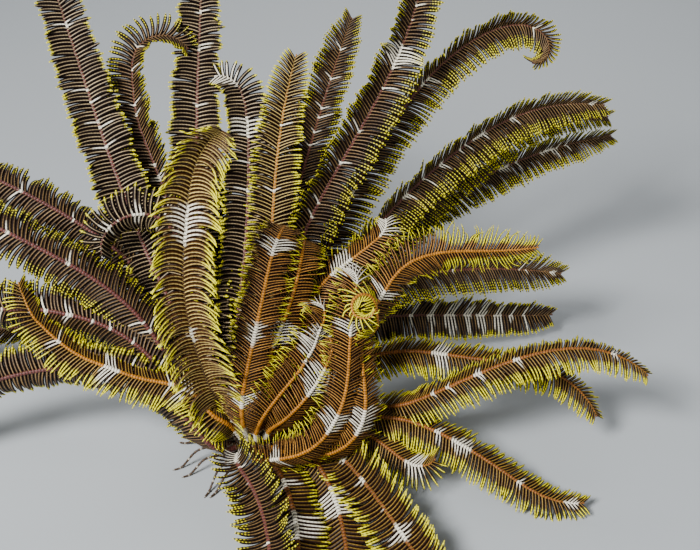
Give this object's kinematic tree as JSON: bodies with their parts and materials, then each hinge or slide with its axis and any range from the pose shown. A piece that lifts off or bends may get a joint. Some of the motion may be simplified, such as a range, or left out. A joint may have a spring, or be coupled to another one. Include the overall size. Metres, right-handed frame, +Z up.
{
  "type": "feather star",
  "caption": "Feather star in life pose: a small cupped body on curled gripping cirri, with a fan of long feathered arms, some curling at the tips.",
  "frame": {"origin": "on the floor, at the middle of the small flat under the centrodorsal", "axes": "+Z up from the floor; +X to the right side of the fan of arms; the front of the fan, where the arms that lie on the floor reach out, is -Y"},
  "size_m": [0.3016, 0.3096, 0.1653],
  "materials": {
    "back_1": "matte, as living skin over small plates",
    "back_2": "matte, as living skin over small plates",
    "centrodorsal": "matte, as living skin over small plates",
    "disc": "matte, as living skin over small plates",
    "floor_1": "matte, as living skin over small plates",
    "floor_2": "matte, as living skin over small plates",
    "floor_3": "matte, as living skin over small plates",
    "floor_4": "matte, as living skin over small plates",
    "front_1_lower": "matte, as living skin over small plates",
    "front_1_upper": "matte, as living skin over small plates",
    "front_2_lower": "matte, as living skin over small plates",
    "front_2_upper": "matte, as living skin over small plates",
    "front_3_lower": "matte, as living skin over small plates",
    "front_3_upper": "matte, as living skin over small plates",
    "front_4": "matte, as living skin over small plates",
    "front_5": "matte, as living skin over small plates",
    "front_6": "matte, as living skin over small plates",
    "front_7": "matte, as living skin over small plates",
    "left_1": "matte, as living skin over small plates",
    "left_2_lower": "matte, as living skin over small plates",
    "left_2_upper": "matte, as living skin over small plates",
    "left_3": "matte, as living skin over small plates",
    "left_4": "matte, as living skin over small plates",
    "left_5": "matte, as living skin over small plates",
    "left_6_lower": "matte, as living skin over small plates",
    "left_6_upper": "matte, as living skin over small plates",
    "left_7": "matte, as living skin over small plates",
    "left_8_lower": "matte, as living skin over small plates",
    "left_8_upper": "matte, as living skin over small plates",
    "ray_1": "matte, as living skin over small plates",
    "ray_2": "matte, as living skin over small plates",
    "ray_3": "matte, as living skin over small plates",
    "ray_4": "matte, as living skin over small plates",
    "ray_5": "matte, as living skin over small plates",
    "right_1": "matte, as living skin over small plates",
    "right_2": "matte, as living skin over small plates",
    "right_3": "matte, as living skin over small plates",
    "right_4_lower": "matte, as living skin over small plates",
    "right_4_upper": "matte, as living skin over small plates",
    "right_5_lower": "matte, as living skin over small plates",
    "right_5_upper": "matte, as living skin over small plates",
    "right_6": "matte, as living skin over small plates",
    "right_7": "matte, as living skin over small plates",
    "sweep_1_lower": "matte, as living skin over small plates",
    "sweep_1_upper": "matte, as living skin over small plates",
    "sweep_2": "matte, as living skin over small plates",
    "sweep_3": "matte, as living skin over small plates",
    "sweep_4": "matte, as living skin over small plates",
    "tall_1": "matte, as living skin over small plates",
    "tall_2_lower": "matte, as living skin over small plates",
    "tall_2_upper": "matte, as living skin over small plates",
    "tall_3": "matte, as living skin over small plates",
    "tall_4": "matte, as living skin over small plates",
    "tall_5": "matte, as living skin over small plates",
    "tall_6": "matte, as living skin over small plates",
    "tall_7": "matte, as living skin over small plates",
    "tall_8": "matte, as living skin over small plates"
  },
  "bodies": {
    "root": {"back_1": "back_1", "back_2": "back_2", "centrodorsal": "centrodorsal", "disc": "disc", "floor_1": "floor_1", "floor_2": "floor_2", "floor_3": "floor_3", "floor_4": "floor_4", "front_1_lower": "front_1_lower", "front_1_upper": "front_1_upper", "front_2_lower": "front_2_lower", "front_2_upper": "front_2_upper", "front_3_lower": "front_3_lower", "front_3_upper": "front_3_upper", "front_4": "front_4", "front_5": "front_5", "front_6": "front_6", "front_7": "front_7", "left_1": "left_1", "left_2_lower": "left_2_lower", "left_2_upper": "left_2_upper", "left_3": "left_3", "left_4": "left_4", "left_5": "left_5", "left_6_lower": "left_6_lower", "left_6_upper": "left_6_upper", "left_7": "left_7", "left_8_lower": "left_8_lower", "left_8_upper": "left_8_upper", "ray_1": "ray_1", "ray_2": "ray_2", "ray_3": "ray_3", "ray_4": "ray_4", "ray_5": "ray_5", "right_1": "right_1", "right_2": "right_2", "right_3": "right_3", "right_4_lower": "right_4_lower", "right_4_upper": "right_4_upper", "right_5_lower": "right_5_lower", "right_5_upper": "right_5_upper", "right_6": "right_6", "right_7": "right_7", "sweep_1_lower": "sweep_1_lower", "sweep_1_upper": "sweep_1_upper", "sweep_2": "sweep_2", "sweep_3": "sweep_3", "sweep_4": "sweep_4", "tall_1": "tall_1", "tall_2_lower": "tall_2_lower", "tall_2_upper": "tall_2_upper", "tall_3": "tall_3", "tall_4": "tall_4", "tall_5": "tall_5", "tall_6": "tall_6", "tall_7": "tall_7", "tall_8": "tall_8"}
  },
  "joints": []
}
